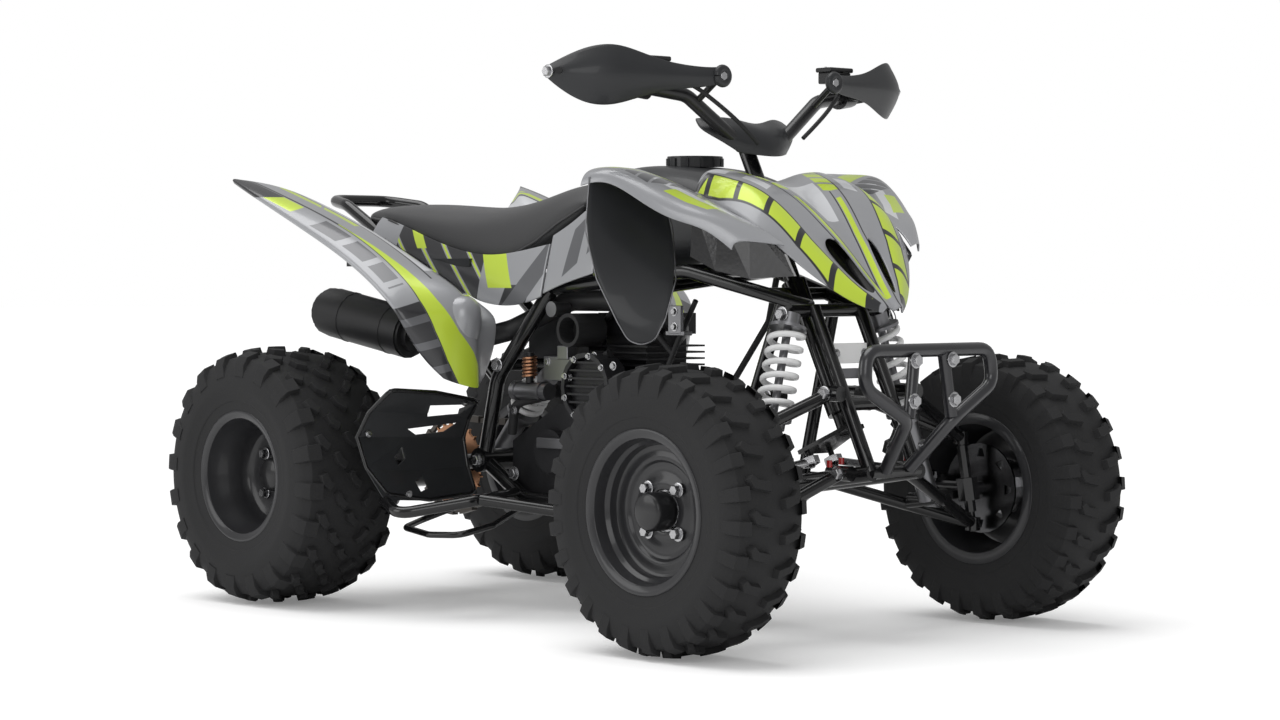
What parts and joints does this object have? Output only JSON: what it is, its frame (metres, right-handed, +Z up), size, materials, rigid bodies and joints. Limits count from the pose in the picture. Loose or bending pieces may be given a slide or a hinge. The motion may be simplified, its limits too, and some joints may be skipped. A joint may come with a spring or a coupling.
{
  "type": "sport quad bike",
  "caption": "Four-wheeled sport quad bike with a straddle seat, wide handlebar, double-wishbone front suspension and a chain-driven rear axle.",
  "frame": {"origin": "on the ground under the middle of the quad's length and width", "axes": "+X forward, +Y to the rider's left, +Z up"},
  "size_m": [1.6832, 1.011, 1.062],
  "materials": {
    "tyre": "moulded rubber",
    "rim": "satin black",
    "frame_black": "gloss black",
    "bumper_black": "satin grey black",
    "silver_plastic": "metallic silver with lime shapes",
    "dark_plastic": "grained dark grey",
    "seat_cover": "smooth grained cover",
    "engine_black": "black paint",
    "bare_steel": "machined",
    "sprocket_steel": "copper coloured",
    "chain_steel": "oiled",
    "exhaust": "heat-proof black",
    "damper_steel": "satin",
    "spring_paint": "white powder coat",
    "bar_black": "satin black",
    "soft_rubber": "ribbed",
    "lamp_lens": "smoked",
    "red_lens": "clear red"
  },
  "bodies": {
    "chassis": {"frame": "frame_black", "foot_pegs": "frame_black", "lower_arms": "frame_black", "upper_arms": "frame_black", "swingarm": "frame_black", "grab_bar": "frame_black", "skid_plate": "frame_black", "front_bumper": "bumper_black", "front_cowl": "silver_plastic", "front_fenders": "silver_plastic", "rear_fenders": "silver_plastic", "side_panels": "silver_plastic", "mud_flaps": "dark_plastic", "heel_guards": "dark_plastic", "rear_tray": "dark_plastic", "airbox": "dark_plastic", "fuel_tank": "dark_plastic", "fuel_cap": "dark_plastic", "seat": "seat_cover", "engine_case": "engine_black", "engine_cylinder": "engine_black", "fan_cover": "engine_black", "drive_chain": "chain_steel", "exhaust_pipe": "exhaust", "muffler": "exhaust", "front_dampers": "damper_steel", "rear_dampers": "damper_steel", "front_springs": "spring_paint", "rear_springs": "spring_paint", "intake": "soft_rubber", "headlamps": "lamp_lens", "tail_lamp": "red_lens"},
    "bar": {"steering_stem": "frame_black", "handlebar": "bar_black", "grips": "soft_rubber", "handguards": "dark_plastic", "bar_controls": "bar_black", "bar_cover": "dark_plastic", "control_cables": "soft_rubber"},
    "knuckle_right": {"knuckle_right": "frame_black"},
    "knuckle_left": {"knuckle_left": "frame_black"},
    "tie_rod_right": {"tie_rod_right": "bare_steel"},
    "tie_rod_left": {"tie_rod_left": "bare_steel"},
    "wheel_front_right": {"tyre_front_right": "tyre", "rim_front_right": "rim", "hub_front_right": "bare_steel"},
    "wheel_front_left": {"tyre_front_left": "tyre", "rim_front_left": "rim", "hub_front_left": "bare_steel"},
    "rear_wheels": {"rear_tyres": "tyre", "rear_rims": "rim", "rear_axle": "bare_steel", "rear_sprocket": "sprocket_steel", "rear_disc": "bare_steel"}
  },
  "joints": [
    {"name": "bar_steer", "type": "hinge", "parent": "chassis", "child": "bar", "pos_m": [0.595, 0, 0.365], "axis": [-0.4451, 0, 0.8955], "range_deg": [-32, 32]},
    {"name": "kingpin_right", "type": "hinge", "parent": "chassis", "child": "knuckle_right", "pos_m": [0.598, -0.338, 0.185], "axis": [-0.099, 0.099, 0.9901], "range_deg": [-32, 32]},
    {"name": "tie_rod_end_right", "type": "hinge", "parent": "knuckle_right", "child": "tie_rod_right", "pos_m": [0.5125, -0.33011, 0.2561], "axis": [-0.099, 0.099, 0.9901], "range_deg": [-32, 32]},
    {"name": "front_wheel_right_spin", "type": "hinge", "parent": "knuckle_right", "child": "wheel_front_right", "pos_m": [0.5915, -0.4225, 0.25], "axis": [0, 1, 0], "continuous": true},
    {"name": "kingpin_left", "type": "hinge", "parent": "chassis", "child": "knuckle_left", "pos_m": [0.598, 0.338, 0.185], "axis": [-0.099, -0.099, 0.9901], "range_deg": [-32, 32]},
    {"name": "tie_rod_end_left", "type": "hinge", "parent": "knuckle_left", "child": "tie_rod_left", "pos_m": [0.5125, 0.33011, 0.2561], "axis": [-0.099, -0.099, 0.9901], "range_deg": [-32, 32]},
    {"name": "front_wheel_left_spin", "type": "hinge", "parent": "knuckle_left", "child": "wheel_front_left", "pos_m": [0.5915, 0.4225, 0.25], "axis": [0, 1, 0], "continuous": true},
    {"name": "rear_wheels_spin", "type": "hinge", "parent": "chassis", "child": "rear_wheels", "pos_m": [-0.5885, 0, 0.253], "axis": [0, 1, 0], "continuous": true}
  ],
  "couplings": [
    {"joint": "kingpin_right", "follows": "bar_steer", "ratio": 1},
    {"joint": "tie_rod_end_right", "follows": "bar_steer", "ratio": -1},
    {"joint": "kingpin_left", "follows": "bar_steer", "ratio": 1},
    {"joint": "tie_rod_end_left", "follows": "bar_steer", "ratio": -1}
  ]
}
